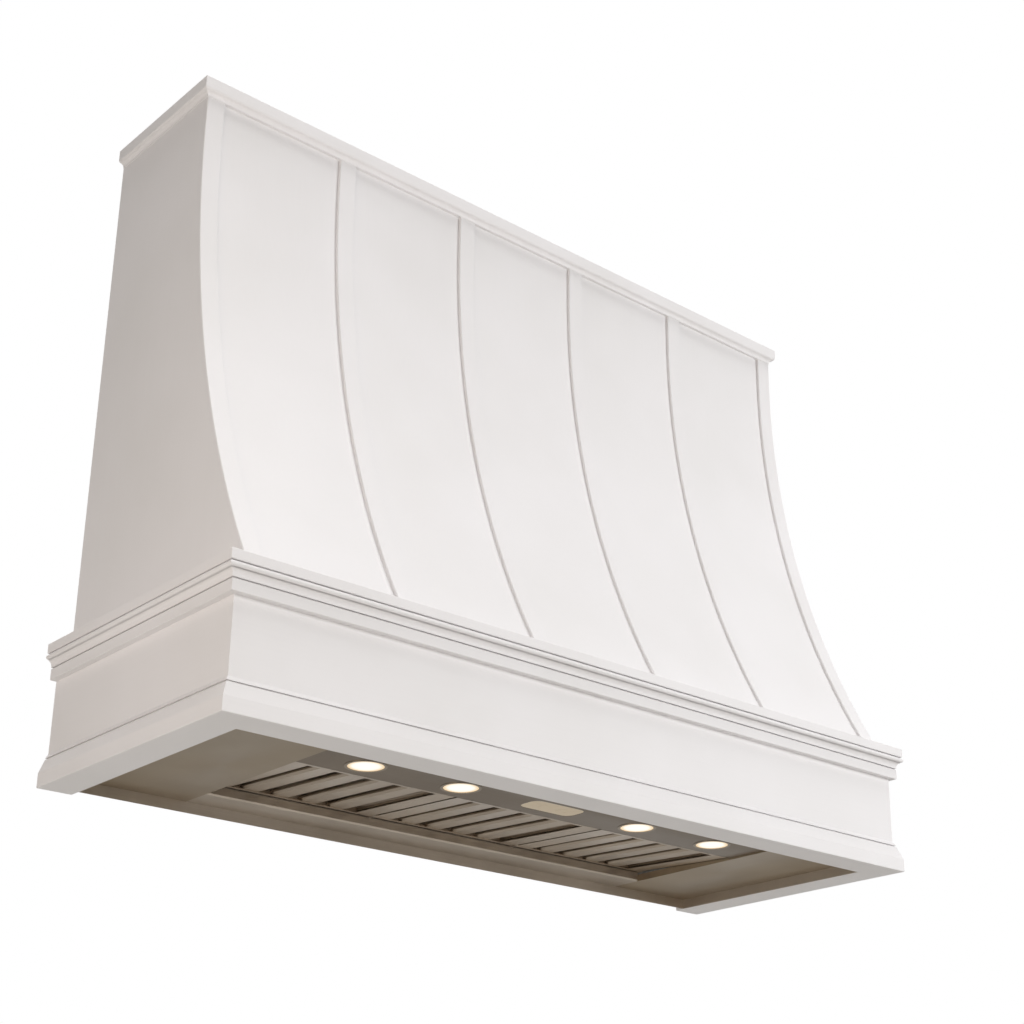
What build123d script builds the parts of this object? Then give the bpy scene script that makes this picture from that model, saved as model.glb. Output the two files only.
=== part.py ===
from build123d import *
import math
import os

# Wooden range hood cover with a steel insert. Millimetres.
# X runs to the right along the front, Y towards the wall and Z up. The pieces are drawn
# with the wall at y = 0 and the rim's underside at z = 0, and written with the middle of
# the depth at y = 0.

# ---- cover, overall -------------------------------------------------------------
cover_width = 1372.0        # over the apron boards
cover_depth = 500.0         # wall to the face of the apron
cover_height = 1130.0       # rim to the top of the crown
board = 19.0                # thickness of boards and plywood

# ---- curved body ------------------------------------------------------------------
waist_height = 225.0        # top of the shelf that the curved body stands on
top_depth = 272.0           # wall to the strap faces at the top
foot_setback = 6.0          # strap face behind the apron face at the foot
straight_top = 85.0         # upright part of the front below the top
skin_thickness = 6.0
strap_thickness = 5.0
strap_width = 32.0
strap_arris = 1.0
rib_depth = 38.0
rib_count = 4
top_rail_height = 74.0

# ---- wall rails -------------------------------------------------------------------
hanging_rail_height = 90.0
hanging_rail_drop = 15.0    # top of the cover to the top of the hanging rail
rear_rail_bottom = 40.0
stud_pitch = 406.4          # wall stud spacing
stud_steps = 2              # studs between the two screw columns
wall_hole_radius = 4.5

# ---- shelf ------------------------------------------------------------------------
shelf_border_side = 110.0
shelf_border_front = 70.0

# ---- crown ------------------------------------------------------------------------
crown_height = 31.0
crown_projection = 10.0     # beyond the strap faces and the sides
crown_fascia = 23.0
crown_round = 4.0

# ---- waist moulding (out from the apron face) ---------------------------------------
waist_height_total = 56.0
waist_band = 15.4
waist_nose = 21.0
waist_bead = 8.6
waist_neck = 16.0
waist_cove = 12.0
waist_flat = 10.5
waist_quirk = 1.3
waist_quirk_depth = 3.2
waist_band_slope = 0.6
waist_line = 1.5
waist_step = 2.4            # foot of the cove behind the flat

# ---- base moulding ------------------------------------------------------------------
base_face = 22.5
base_nose = 13.0
base_bevel = 22.0
base_neck = 4.5
base_cove = 8.0
base_quirk = 1.3
base_quirk_depth = 1.8
moulding_arris = 0.8        # eased edges on all mouldings

# ---- rim and liner ------------------------------------------------------------------
rim_width = 58.0            # underside, over moulding, apron and rim rail
rim_rail_height = 19.0
sheet = 1.2                 # steel sheet
liner_recess = 18.0         # rim underside up to the steel panels
liner_reveal = 0.6          # liner edge above the rim underside
liner_flange = 20.0
liner_rear_rise = 60.0
bay_half = 460.0            # half width of the lamp and filter bay
light_panel_depth = 140.0
light_panel_step = 3.0      # light panel above the side panels
light_panel_lip = 25.0
gutter_depth = 61.0
gutter_lip = 28.0
panel_lip = 12.0
panel_corner = 42.0         # inner front corner of the side panels
sheet_bend = 2.5            # outside of a fold
rim_arris = 1.0             # eased inner edge of the rim
screw_count_front = 3
screw_count_side = 1
screw_radius = 2.0
screw_head_radius = 4.0
screw_head_height = 2.4
screw_length = 14.0
screw_clearance = 0.1

# ---- filters ------------------------------------------------------------------------
filter_count = 3
filter_thickness = 12.0
filter_sheet = 1.0
filter_side_flat = 32.0
filter_end_flat = 7.0
filter_top_flat = 20.0
filter_slats = 4
filter_gap = 21.0           # air gap between the lower slats
slat_lip = 6.0
slat_bend = 3.5
upper_overlap = 6.0
filter_tilt = 3.0           # degrees, rear edge higher
filter_rear_lift = 22.0     # steel panel face to the hinge line
hinge_to_lip = 11.0         # gutter lip to the hinge line
hinge_to_rear = 7.0         # hinge line to the rear edge of the frame
filter_front_gap = 2.5
hinge_pin_radius = 2.5
hinge_pin_clearance = 0.05
lug_thickness = 1.5
lug_side_gap = 0.5
lug_spacing = 1.2
lug_radius = 7.0
catch_width = 30.0
catch_height = 5.0
catch_depth = 9.0
catch_gap = 0.3
catch_offset = 90.0

# ---- lamps --------------------------------------------------------------------------
lamp_inner_x = 186.0
lamp_outer_x = 364.0
lamp_set_back = 90.0        # front wall of the liner to the lamp centres
lens_radius = 27.5
bezel_radius = 32.0
bezel_proud = 0.6
lens_depth = 8.0
lamp_fit = 0.3
lamp_body_radius = 34.0
lamp_height = 36.0

# ---- controls -----------------------------------------------------------------------
plate_length = 108.0
plate_width = 48.0
plate_corner = 16.0
plate_thickness = 2.0
plate_recess = 0.4
plate_fit = 0.2
button_count = 5
button_pitch = 18.0
button_length = 11.0        # across the row of keys
button_width = 16.0
button_gap = 0.3
button_proud = 0.2
button_flange = 1.6
button_flange_step = 1.5
button_travel = 1.5
switch_box_height = 30.0
switch_box_margin = 6.0
switch_pocket_depth = 4.6
switch_pocket_radius = 11.0

# ---- air box and blower ---------------------------------------------------------------
plenum_top = 140.0
blower_box_half = 175.0
blower_box_top = 440.0
scroll_y = -208.0           # wheel axis
scroll_z = 288.0
scroll_r_top = 100.0
scroll_r_front = 108.0
scroll_r_rear = 118.0
scroll_cutoff = 70.0        # degrees
scroll_half_width = 75.0
inlet_radius = 64.0
wheel_radius = 86.0
wheel_half_width = 68.0
wheel_disc = 2.0
wheel_ring_width = 20.0
blade_count = 18
blade_thickness = 1.0
blade_lean = 9.0            # outer edge ahead of the inner edge
hub_radius = 14.0
hub_length = 18.0
shaft_radius = 6.0
shaft_clearance = 0.05
motor_radius = 40.0
motor_length = 56.0
motor_gap = 8.0
spider_arm = 14.0
spider_thickness = 2.0
spider_foot = 10.0

# ---- duct collar and damper -------------------------------------------------------------
collar_radius = 100.5
collar_height = 120.0
collar_flange = 6.0         # base plate beyond the collar
damper_height = 22.0        # box top to the damper rod
rod_radius = 3.0
rod_clearance = 0.05
rod_recess = 0.1            # rod end inside the collar's face
sleeve_wall = 1.3
flap_margin = 2.3
flap_clear = 0.9
knuckle_setback = 8.0       # disc edge to the outer knuckles
knuckles = 3
knuckle_gap = 2.0
stop_tab = 6.0
stop_gap = 0.3

# ---- derived places -----------------------------------------------------------------
apron_half = cover_width / 2
body_half = apron_half - board
foot_depth = cover_depth - foot_setback
tangent_z = cover_height - straight_top
curve_drop = tangent_z - waist_height
flare = foot_depth - top_depth
face_radius = (flare ** 2 + curve_drop ** 2) / (2 * flare)
curve_y = -(top_depth + face_radius)
skin_back = strap_thickness + skin_thickness
crown_z = cover_height - crown_height
rim_out = cover_depth + base_nose
rim_in = rim_out - rim_width
liner_half = apron_half + base_nose - rim_width
rail_width = liner_half
liner_rear = -board
panel_z = liner_recess
light_z = panel_z + light_panel_step
light_rear = -(rim_in - sheet - light_panel_depth)
gutter_front = liner_rear - sheet - gutter_depth
air_front = light_rear - 2 * sheet
air_rear = liner_rear - 2 * sheet
air_half = bay_half + 2 * sheet
hinge_y = gutter_front - hinge_to_lip
hinge_z = panel_z + filter_rear_lift
filter_pitch = (2 * bay_half) / filter_count
filter_width = filter_pitch - 2 * (lug_side_gap + lug_thickness) - lug_spacing
filter_length = hinge_y + hinge_to_rear - light_rear - filter_front_gap
lamp_y = -(rim_in - sheet - lamp_set_back)
outlet_inner = scroll_r_top * math.cos(math.radians(scroll_cutoff))
outlet_outer = scroll_r_rear + scroll_r_front - scroll_r_top
outlet_y = scroll_y + (outlet_inner + outlet_outer) / 2
damper_z = blower_box_top + damper_height
stud_x = stud_pitch * stud_steps / 2
half_depth = (cover_depth + waist_nose) / 2
hanging_z = cover_height - hanging_rail_drop - hanging_rail_height / 2
rear_hole_z = (rear_rail_bottom + waist_height - board) / 2


def block(x0, x1, y0, y1, z0, z1):
    """A box between two corners."""
    box = Box(x1 - x0, y1 - y0, z1 - z0)
    return Pos((x0 + x1) / 2, (y0 + y1) / 2, (z0 + z1) / 2) * box


def rod_x(radius, x0, x1, y, z):
    """A cylinder along X."""
    rod = Cylinder(radius, x1 - x0)
    return Pos((x0 + x1) / 2, y, z) * Rot(0, 90, 0) * rod


def post_z(radius, x, y, z0, z1):
    """A cylinder along Z."""
    return Pos(x, y, (z0 + z1) / 2) * Cylinder(radius, z1 - z0)


def along_x(edges, x0, x1):
    """Edges drawn as (y, z) made into a solid from x0 to x1."""
    face = make_face(edges)
    solid = extrude(Plane.YZ * face, x1 - x0)
    return Pos(x0, 0, 0) * solid


def plan(points, z0, z1):
    """A plan outline pulled up from z0 to z1."""
    face = make_face(Polyline(*points, close=True))
    return Pos(0, 0, z0) * extrude(face, z1 - z0)


def curve_at(offset, z):
    """Depth position of the front curve, offset back from the strap faces."""
    radius = face_radius + offset
    if z >= tangent_z:
        return curve_y + radius
    return curve_y + math.sqrt(radius ** 2 - (tangent_z - z) ** 2)


def front_edges(offset, z0, z1):
    """The front curve from z0 up to z1: an arc, then an upright line."""
    middle = (z0 + tangent_z) / 2
    foot = (curve_at(offset, z0), z0)
    turn = (curve_at(offset, tangent_z), tangent_z)
    arc = ThreePointArc(foot, (curve_at(offset, middle), middle), turn)
    if z1 <= tangent_z:
        return [arc]
    return [arc, Line(turn, (turn[0], z1))]


def curved_layer(front, back, z0, z1, x0, x1):
    """A layer of the curved front between two offsets behind the strap faces."""
    edges = front_edges(front, z0, z1) + front_edges(back, z0, z1)
    edges.append(Line((curve_at(front, z0), z0), (curve_at(back, z0), z0)))
    edges.append(Line((curve_at(front, z1), z1), (curve_at(back, z1), z1)))
    return along_x(edges, x0, x1)


# ---- curved body ------------------------------------------------------------------
def side_panel(side):
    edges = front_edges(skin_back, waist_height, cover_height)
    foot = curve_at(skin_back, waist_height)
    head = curve_at(skin_back, cover_height)
    edges.append(Line((foot, waist_height), (0, waist_height)))
    edges.append(Line((0, waist_height), (0, cover_height)))
    edges.append(Line((0, cover_height), (head, cover_height)))
    inner = body_half - board
    if side < 0:
        return along_x(edges, -body_half, -inner)
    return along_x(edges, inner, body_half)


def front_panel():
    return curved_layer(strap_thickness, skin_back, waist_height, cover_height, -body_half, body_half)


def strap_centres():
    span = 2 * body_half - strap_width
    steps = rib_count + 1
    return [-span / 2 + span * i / steps for i in range(steps + 1)]


def strap(x):
    """A batten on the curved front, with its two front arrises eased."""
    half = strap_width / 2
    piece = curved_layer(0, strap_thickness, waist_height, crown_z, x - half, x + half)
    arrises = []
    for edge in piece.edges():
        box = edge.bounding_box()
        middle = edge @ 0.5
        on_face = abs(middle.Y - curve_at(0, middle.Z)) < strap_arris / 2
        if box.size.X < strap_arris / 10 and box.size.Z > strap_thickness and on_face:
            arrises.append(edge)
    return chamfer(arrises, strap_arris)


def curved_ribs():
    ribs = []
    for x in strap_centres()[1:-1]:
        top = cover_height - top_rail_height
        rib = curved_layer(skin_back, skin_back + rib_depth, waist_height, top, x - board / 2, x + board / 2)
        ribs.append(rib)
    return ribs


def top_rail_front():
    inner = body_half - board
    y = curve_at(skin_back, cover_height)
    return block(-inner, inner, y, y + board, cover_height - top_rail_height, cover_height)


def wall_hole(x, z):
    return Pos(x, -board / 2, z) * Rot(90, 0, 0) * Cylinder(wall_hole_radius, board * 2)


def hanging_rail():
    inner = body_half - board
    top = cover_height - hanging_rail_drop
    rail = block(-inner, inner, -board, 0, top - hanging_rail_height, top)
    for x in (-stud_x, stud_x):
        rail = rail - wall_hole(x, hanging_z)
    return rail


def rear_rail():
    rail = block(-body_half, body_half, -board, 0, rear_rail_bottom, waist_height - board)
    for x in (-stud_x, stud_x):
        rail = rail - wall_hole(x, rear_hole_z)
    return rail


def shelf():
    z0 = waist_height - board
    deck = block(-apron_half, apron_half, -cover_depth, 0, z0, waist_height)
    x = apron_half - shelf_border_side
    y = cover_depth - shelf_border_front
    window = block(-x, x, -y, -board, z0 - 1, waist_height + 1)
    return deck - window


# ---- mitred mouldings ---------------------------------------------------------------
def mitre_front(half, depth, z0, z1):
    reach = crown_projection + waist_nose
    points = [(-half, -depth), (half, -depth), (half + reach, -depth - reach), (-half - reach, -depth - reach)]
    return plan(points, z0, z1)


def mitre_side(half, depth, z0, z1):
    reach = crown_projection + waist_nose
    points = [(-half, -depth), (-half - reach, -depth - reach), (-half - reach, 0), (-half, 0)]
    return plan(points, z0, z1)


def moulding(profile, half, depth, z0, z1):
    """Front, left and right lengths of a moulding drawn as (out, z) from its back."""
    face = make_face(profile)
    reach = crown_projection + waist_nose
    length = 2 * (half + reach)
    run = extrude(Plane.YZ * mirror(face, Plane.YZ), length)
    front = Pos(-length / 2, -depth, 0) * run
    front = front & mitre_front(half, depth, z0, z1)
    turned = extrude(Plane.XZ * mirror(face, Plane.YZ), depth + reach)
    left = Pos(-half, 0, 0) * turned
    left = left & mitre_side(half, depth, z0, z1)
    right = mirror(left, Plane.YZ)
    return front, left, right


def crown_profile():
    z0 = crown_z
    z2 = cover_height - crown_fascia
    out = crown_projection
    turn = crown_round
    slope = math.sqrt(0.5)
    start = moulding_arris
    cove_mid = (out - turn - (out - turn - start) * slope, z0 + (z2 - z0) * slope)
    round_mid = (out - turn * (1 - slope), z2 + turn * (1 - slope))
    return [
        Line((0, z0), (start, z0)),
        ThreePointArc((start, z0), cove_mid, (out - turn, z2)),
        ThreePointArc((out - turn, z2), round_mid, (out, z2 + turn)),
        Line((out, z2 + turn), (out, cover_height - start)),
        Line((out, cover_height - start), (out - start, cover_height)),
        Line((out - start, cover_height), (0, cover_height)),
        Line((0, cover_height), (0, z0)),
    ]


def crown_front(length):
    """The front length also fills the depth of the straps behind it."""
    backing = block(-body_half, body_half, -top_depth, -top_depth + strap_thickness, crown_z, cover_height)
    return length + backing


def waist_profile():
    top = waist_height
    ease = moulding_arris
    z1 = top - waist_band
    z2 = z1 - waist_quirk
    z3 = z2 - waist_bead
    z4 = z3 - waist_cove
    z5 = z4 - waist_line
    z6 = top - waist_height_total
    band_foot = waist_nose - waist_band_slope
    bead_in = waist_nose - waist_quirk_depth
    bead_mid = (waist_nose - ease / 2, z2 - waist_bead * 0.42)
    cove_in = waist_flat - waist_step
    cove_mid = (cove_in + (waist_neck - cove_in) * 0.3, z4 + waist_cove * 0.43)
    return [
        Line((0, top), (waist_nose - ease, top)),
        Line((waist_nose - ease, top), (waist_nose, top - ease)),
        Line((waist_nose, top - ease), (band_foot, z1)),
        Line((band_foot, z1), (bead_in, z1)),
        Line((bead_in, z1), (bead_in, z2)),
        ThreePointArc((bead_in, z2), bead_mid, (waist_neck, z3)),
        ThreePointArc((waist_neck, z3), cove_mid, (cove_in, z4)),
        Line((cove_in, z4), (cove_in, z5)),
        Line((cove_in, z5), (waist_flat, z5)),
        Line((waist_flat, z5), (waist_flat, z6 + ease)),
        Line((waist_flat, z6 + ease), (waist_flat - ease, z6)),
        Line((waist_flat - ease, z6), (0, z6)),
        Line((0, z6), (0, top)),
    ]


def base_profile():
    ease = moulding_arris
    z1 = base_face
    z2 = z1 + base_bevel
    z3 = z2 + base_quirk
    z4 = z3 + base_cove
    quirk_in = base_neck - base_quirk_depth
    cove_out = base_neck - ease / 2
    cove_in = ease / 2
    cove_mid = (cove_in + (cove_out - cove_in) * 0.22, z3 + base_cove * 0.29)
    return [
        Line((0, 0), (base_nose - ease, 0)),
        Line((base_nose - ease, 0), (base_nose, ease)),
        Line((base_nose, ease), (base_nose, z1)),
        Line((base_nose, z1), (base_neck, z2)),
        Line((base_neck, z2), (quirk_in, z2)),
        Line((quirk_in, z2), (quirk_in, z3)),
        Line((quirk_in, z3), (cove_out, z3)),
        ThreePointArc((cove_out, z3), cove_mid, (cove_in, z4)),
        Line((cove_in, z4), (0, z4)),
        Line((0, z4), (0, 0)),
    ]


# ---- apron box ----------------------------------------------------------------------
def apron_front():
    x = apron_half
    d = cover_depth
    points = [(-x, -d), (x, -d), (x - board, -d + board), (-x + board, -d + board)]
    return plan(points, 0, waist_height - board)


def apron_left():
    x = apron_half
    d = cover_depth
    points = [(-x, -d), (-x + board, -d + board), (-x + board, 0), (-x, 0)]
    return plan(points, 0, waist_height - board)


def screw_spots_front():
    step = 2 * (liner_half - liner_flange) / (screw_count_front - 1)
    y = -rim_in - liner_flange / 2
    return [(-(liner_half - liner_flange) + i * step, y) for i in range(screw_count_front)]


def screw_spots_side(side):
    x = side * (liner_half + liner_flange / 2)
    run = rim_in - board
    return [(x, -board - run * (i + 1) / (screw_count_side + 1)) for i in range(screw_count_side)]


def pilot_holes(spots):
    bottom = rim_rail_height + sheet - screw_length
    return [post_z(screw_radius + screw_clearance, x, y, bottom, rim_rail_height + 1) for x, y in spots]


def rim_rail_front():
    y0 = -cover_depth + board
    rail = block(-body_half, body_half, y0, -rim_in, 0, rim_rail_height)
    eased = Polyline((-rim_in - rim_arris, 0), (-rim_in, 0), (-rim_in, rim_arris), close=True)
    rail = rail - along_x(eased, -liner_half, liner_half)
    for hole in pilot_holes(screw_spots_front()):
        rail = rail - hole
    return rail


def rim_rail_side(side):
    rail = block(liner_half, body_half, -rim_in, 0, 0, rim_rail_height)
    eased = Polyline((liner_half + rim_arris, 0), (liner_half, 0), (liner_half, rim_arris), close=True)
    rail = rail - extrude(Plane.XZ * make_face(eased), rim_in)
    if side < 0:
        rail = mirror(rail, Plane.YZ)
    for hole in pilot_holes(screw_spots_side(side)):
        rail = rail - hole
    return rail


def liner_screws():
    """Hexagon-headed wood screws through the liner's flange."""
    screws = []
    seat = rim_rail_height + sheet
    spots = screw_spots_front() + screw_spots_side(-1) + screw_spots_side(1)
    for x, y in spots:
        shank = post_z(screw_radius, x, y, seat - screw_length + 1, seat)
        head = extrude(RegularPolygon(screw_head_radius, 6), screw_head_height)
        screws.append(shank + Pos(x, y, seat) * head)
    return screws


# ---- liner ----------------------------------------------------------------------------
def filter_centres():
    first = -filter_pitch * (filter_count - 1) / 2
    return [first + i * filter_pitch for i in range(filter_count)]


def lug(x0, x1):
    plate = block(x0, x1, hinge_y, gutter_front, hinge_z - lug_radius, hinge_z + lug_radius)
    plate = plate + rod_x(lug_radius, x0, x1, hinge_y, hinge_z)
    return plate - rod_x(hinge_pin_radius + hinge_pin_clearance, x0 - 1, x1 + 1, hinge_y, hinge_z)


def folded_sheet(flat_end, fold, z0, height, x0, x1):
    """Sheet lying at z0 from flat_end to the fold, where it turns up."""
    side = 1 if flat_end > fold else -1
    near = sheet_bend
    far = sheet_bend + sheet * (math.sqrt(2) - 1)
    outer = [(flat_end, z0), (fold + side * near, z0), (fold, z0 + near), (fold, z0 + height)]
    back = fold + side * sheet
    inner = [(back, z0 + height), (back, z0 + far), (fold + side * far, z0 + sheet), (flat_end, z0 + sheet)]
    return along_x(Polyline(*outer, *inner, close=True), x0, x1)


def liner_frame():
    top = rim_rail_height + sheet
    x = liner_half
    walls = block(-x, x, -rim_in, liner_rear, liner_reveal, top)
    ledge = block(-x - liner_flange, x + liner_flange, -rim_in - liner_flange, liner_rear, rim_rail_height, top)
    back = block(-x, x, liner_rear - sheet, liner_rear, liner_reveal, liner_rear_rise)
    void = block(-x + sheet, x - sheet, -rim_in + sheet, liner_rear - sheet, -1, liner_rear_rise + 1)
    frame = walls + ledge + back - void
    for px, py in screw_spots_front() + screw_spots_side(-1) + screw_spots_side(1):
        frame = frame - post_z(screw_radius + screw_clearance, px, py, 0, top + 1)
    frame = frame + folded_sheet(liner_rear - sheet, gutter_front, panel_z, gutter_lip, -bay_half, bay_half)
    for centre in filter_centres():
        inside = filter_width / 2 + lug_side_gap
        frame = frame + lug(centre - inside - lug_thickness, centre - inside)
        frame = frame + lug(centre + inside, centre + inside + lug_thickness)
    return frame


def liner_panel_left():
    """Flat end panel; its inner front corner sweeps round to the front wall."""
    x0 = -liner_half + sheet
    y0 = -rim_in + sheet
    y1 = liner_rear - sheet
    r = panel_corner
    panel = block(x0, -bay_half, y0, y1, panel_z, panel_z + sheet)
    lip = block(-bay_half - sheet, -bay_half, y0, y1, panel_z, panel_z + panel_lip)
    corner = block(-bay_half, -bay_half + r, y0, y0 + r, panel_z, panel_z + sheet)
    corner = corner - post_z(r, -bay_half + r, y0 + r, panel_z - 1, panel_z + sheet + 1)
    return panel + lip + corner


def control_outline(margin, z0, z1):
    face = RectangleRounded(plate_length + 2 * margin, plate_width + 2 * margin, plate_corner + margin)
    return Pos(0, lamp_y, z0) * extrude(face, z1 - z0)


def lamp_centres():
    return [-lamp_outer_x, -lamp_inner_x, lamp_inner_x, lamp_outer_x]


def light_panel():
    y0 = -rim_in + sheet
    z1 = light_z + sheet
    panel = folded_sheet(y0, light_rear, light_z, light_panel_lip, -bay_half, bay_half)
    hole = lens_radius + lamp_fit
    for x in lamp_centres():
        panel = panel - post_z(hole, x, lamp_y, light_z - 1, z1 + 1)
    return panel - control_outline(plate_fit, light_z - 1, z1 + 1)


# ---- filters ----------------------------------------------------------------------------
def place_filter(solid, centre):
    """Move a filter part from its hinge line to its tilted place."""
    return Pos(centre, hinge_y, hinge_z) * Rot(filter_tilt, 0, 0) * solid


def filter_frame(centre):
    w = filter_width / 2
    y0 = hinge_to_rear - filter_length
    y1 = hinge_to_rear
    z0 = -filter_thickness / 2
    z1 = filter_thickness / 2
    t = filter_sheet
    shell = block(-w, w, y0, y1, z0, z1) - block(-w + t, w - t, y0 + t, y1 - t, z0 + t, z1 - t)
    side = filter_side_flat
    end = filter_end_flat
    top = filter_top_flat
    shell = shell - block(-w + side, w - side, y0 + end, y1 - end, z0 - 1, z0 + t + 1)
    shell = shell - block(-w + top, w - top, y0 + end, y1 - end, z1 - t - 1, z1 + 1)
    reach = lug_side_gap + lug_thickness
    shell = shell + rod_x(hinge_pin_radius, w - t, w + reach, 0, 0)
    shell = shell + rod_x(hinge_pin_radius, -w - reach, -w + t, 0, 0)
    return place_filter(shell, centre)


def channel(width, height, thickness, bend, length):
    """A folded channel along Y, open upwards, its bottom at z = 0 and its folds eased."""
    w = width / 2
    v = w - thickness
    turn = bend + thickness * (math.sqrt(2) - 1)
    outer = [(-w, height), (-w, bend), (-w + bend, 0), (w - bend, 0), (w, bend), (w, height)]
    inner = [(v, height), (v, turn), (w - turn, thickness), (-w + turn, thickness), (-v, turn), (-v, height)]
    face = make_face(Polyline(*outer, *inner, close=True))
    return Pos(0, length / 2, 0) * extrude(Plane.XZ * face, length)


def filter_baffles(centre):
    w = filter_width / 2
    t = filter_sheet
    clear = 0.3
    length = filter_length - 2 * (t + clear)
    middle = hinge_to_rear - filter_length / 2
    room = 2 * (w - filter_side_flat)
    slat = (room - filter_gap * (filter_slats + 1)) / filter_slats
    z0 = -filter_thickness / 2 + t
    z1 = filter_thickness / 2 - t
    solids = []
    for i in range(filter_slats):
        x = -room / 2 + filter_gap + slat / 2 + i * (slat + filter_gap)
        low = channel(slat, slat_lip, t, slat_bend, length)
        solids.append(place_filter(Pos(x, middle, z0) * low, centre))
    for i in range(filter_slats + 1):
        x = -room / 2 + filter_gap / 2 + i * (slat + filter_gap)
        high = channel(filter_gap + 2 * upper_overlap, slat_lip, t, slat_bend, length)
        solids.append(place_filter(Pos(x, middle, z1) * Rot(0, 180, 0) * high, centre))
    return solids


def filter_catches():
    """Magnet blocks on the light panel lip, just over the filter fronts."""
    front = hinge_to_rear - filter_length
    angle = math.radians(filter_tilt)
    rise = front * math.sin(angle) + filter_thickness / 2 * math.cos(angle)
    z0 = hinge_z + rise + catch_gap + catch_depth * math.tan(angle)
    solids = []
    for centre in filter_centres():
        for x in (centre - catch_offset, centre + catch_offset):
            half = catch_width / 2
            solids.append(block(x - half, x + half, light_rear, light_rear + catch_depth, z0, z0 + catch_height))
    return solids


# ---- lamps and controls -------------------------------------------------------------------
def lamp_bezels():
    rings = []
    for x in lamp_centres():
        ring = post_z(bezel_radius, x, lamp_y, light_z - bezel_proud, light_z)
        rings.append(ring - post_z(lens_radius, x, lamp_y, light_z - 2 * bezel_proud, light_z + bezel_proud))
    return rings


def lamp_lenses():
    return [post_z(lens_radius, x, lamp_y, light_z, light_z + lens_depth) for x in lamp_centres()]


def lamp_housings():
    """Round cans on the light panel that hold the lenses."""
    housings = []
    z0 = light_z + sheet
    for x in lamp_centres():
        can = post_z(lamp_body_radius, x, lamp_y, z0, z0 + lamp_height)
        housings.append(can - post_z(lens_radius + lamp_fit, x, lamp_y, light_z, light_z + lens_depth))
    return housings


def button_centres():
    first = -button_pitch * (button_count - 1) / 2
    return [first + i * button_pitch for i in range(button_count)]


def key(x, margin, z0, z1):
    """The outline of one push key, with a margin all round."""
    half = button_length / 2 + margin
    deep = button_width / 2 + margin
    return block(x - half, x + half, lamp_y - deep, lamp_y + deep, z0, z1)


def control_plate():
    z0 = light_z + plate_recess
    plate = control_outline(0, z0, z0 + plate_thickness)
    for x in button_centres():
        plate = plate - key(x, button_gap, z0 - 1, z0 + plate_thickness + 1)
    return plate


def button(x):
    """A flat key with a wider keeper behind the plate."""
    z0 = light_z + plate_recess - button_proud
    back = light_z + plate_recess + plate_thickness + button_gap
    return key(x, 0, z0, back) + key(x, button_flange, back, back + button_flange_step)


def switch_box():
    """A closed box on the light panel with one pocket for all the keepers."""
    z0 = light_z + plate_recess + plate_thickness
    x = plate_length / 2 + switch_box_margin
    y = plate_width / 2 + switch_box_margin
    box = block(-x, x, lamp_y - y, lamp_y + y, light_z + sheet, z0 + switch_box_height)
    box = box - control_outline(plate_fit, light_z, z0)
    half_row = button_pitch * (button_count - 1) / 2 + switch_pocket_radius
    deep = switch_pocket_radius
    return box - block(-half_row, half_row, lamp_y - deep, lamp_y + deep, light_z, z0 + switch_pocket_depth)


# ---- air box and blower -------------------------------------------------------------------
def plenum_box():
    z0 = light_z + sheet + sheet_bend
    body = block(-air_half, air_half, air_front, air_rear, panel_z + sheet, plenum_top)
    hollow = block(-air_half + sheet, air_half - sheet, air_front + sheet, air_rear - sheet, 0, plenum_top - sheet)
    body = body - hollow
    notch = block(-bay_half - sheet, bay_half + sheet, air_front - 1, air_front + sheet + 0.01, 0, z0)
    body = body - notch
    slot_top = panel_z + panel_lip
    for x in (-bay_half - sheet, bay_half):
        body = body - block(x, x + sheet, air_front - 1, air_rear + 1, 0, slot_top)
    half = blower_box_half - sheet
    return body - block(-half, half, air_front + sheet, air_rear - sheet, plenum_top - board, plenum_top + board)


def outlet_window(z0, z1):
    half = scroll_half_width - sheet
    y0 = scroll_y + outlet_inner + sheet
    y1 = scroll_y + outlet_outer - sheet
    return block(-half, half, y0, y1, z0, z1)


def blower_box():
    half = blower_box_half
    t = sheet
    box = block(-half, half, air_front, air_rear, plenum_top, blower_box_top)
    box = box - block(-half + t, half - t, air_front + t, air_rear - t, plenum_top - 1, blower_box_top - t)
    return box - outlet_window(blower_box_top - board, blower_box_top + board)


def scroll_outline(inset, top):
    """Spiral wall of the scroll as (y, z) from the wheel axis: three arcs and the outlet."""
    r1 = scroll_r_top - inset
    r2 = scroll_r_front - inset
    r3 = scroll_r_rear - inset
    shift_y = r2 - r1
    shift_z = r3 - r2
    angle = math.radians(scroll_cutoff)
    half_angle = (angle + math.pi) / 2
    diagonal = math.sqrt(0.5)
    first = (r1 * math.cos(angle), r1 * math.sin(angle))
    front = (-r1, 0)
    bottom = (shift_y, -r2)
    rear = (shift_y + r3, shift_z)
    edges = [
        ThreePointArc(first, (r1 * math.cos(half_angle), r1 * math.sin(half_angle)), front),
        ThreePointArc(front, (shift_y - r2 * diagonal, -r2 * diagonal), bottom),
        ThreePointArc(bottom, (shift_y + r3 * diagonal, shift_z - r3 * diagonal), rear),
        Line(rear, (rear[0], top)),
    ]
    if inset > 0:
        edges.append(Line((rear[0], top), (outlet_inner + inset, top)))
        edges.append(Line((outlet_inner + inset, top), (outlet_inner + inset, first[1])))
        edges.append(Line((outlet_inner + inset, first[1]), first))
    else:
        edges.append(Line((rear[0], top), (first[0], top)))
        edges.append(Line((first[0], top), first))
    return edges


def scroll_housing():
    top = blower_box_top - sheet - scroll_z
    half = scroll_half_width
    outer = along_x(scroll_outline(0, top), -half, half)
    inner = along_x(scroll_outline(sheet, top + board), -half + sheet, half - sheet)
    case = outer - inner
    case = case - rod_x(inlet_radius, -half - board, half + board, 0, 0)
    return Pos(0, scroll_y, scroll_z) * case


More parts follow.
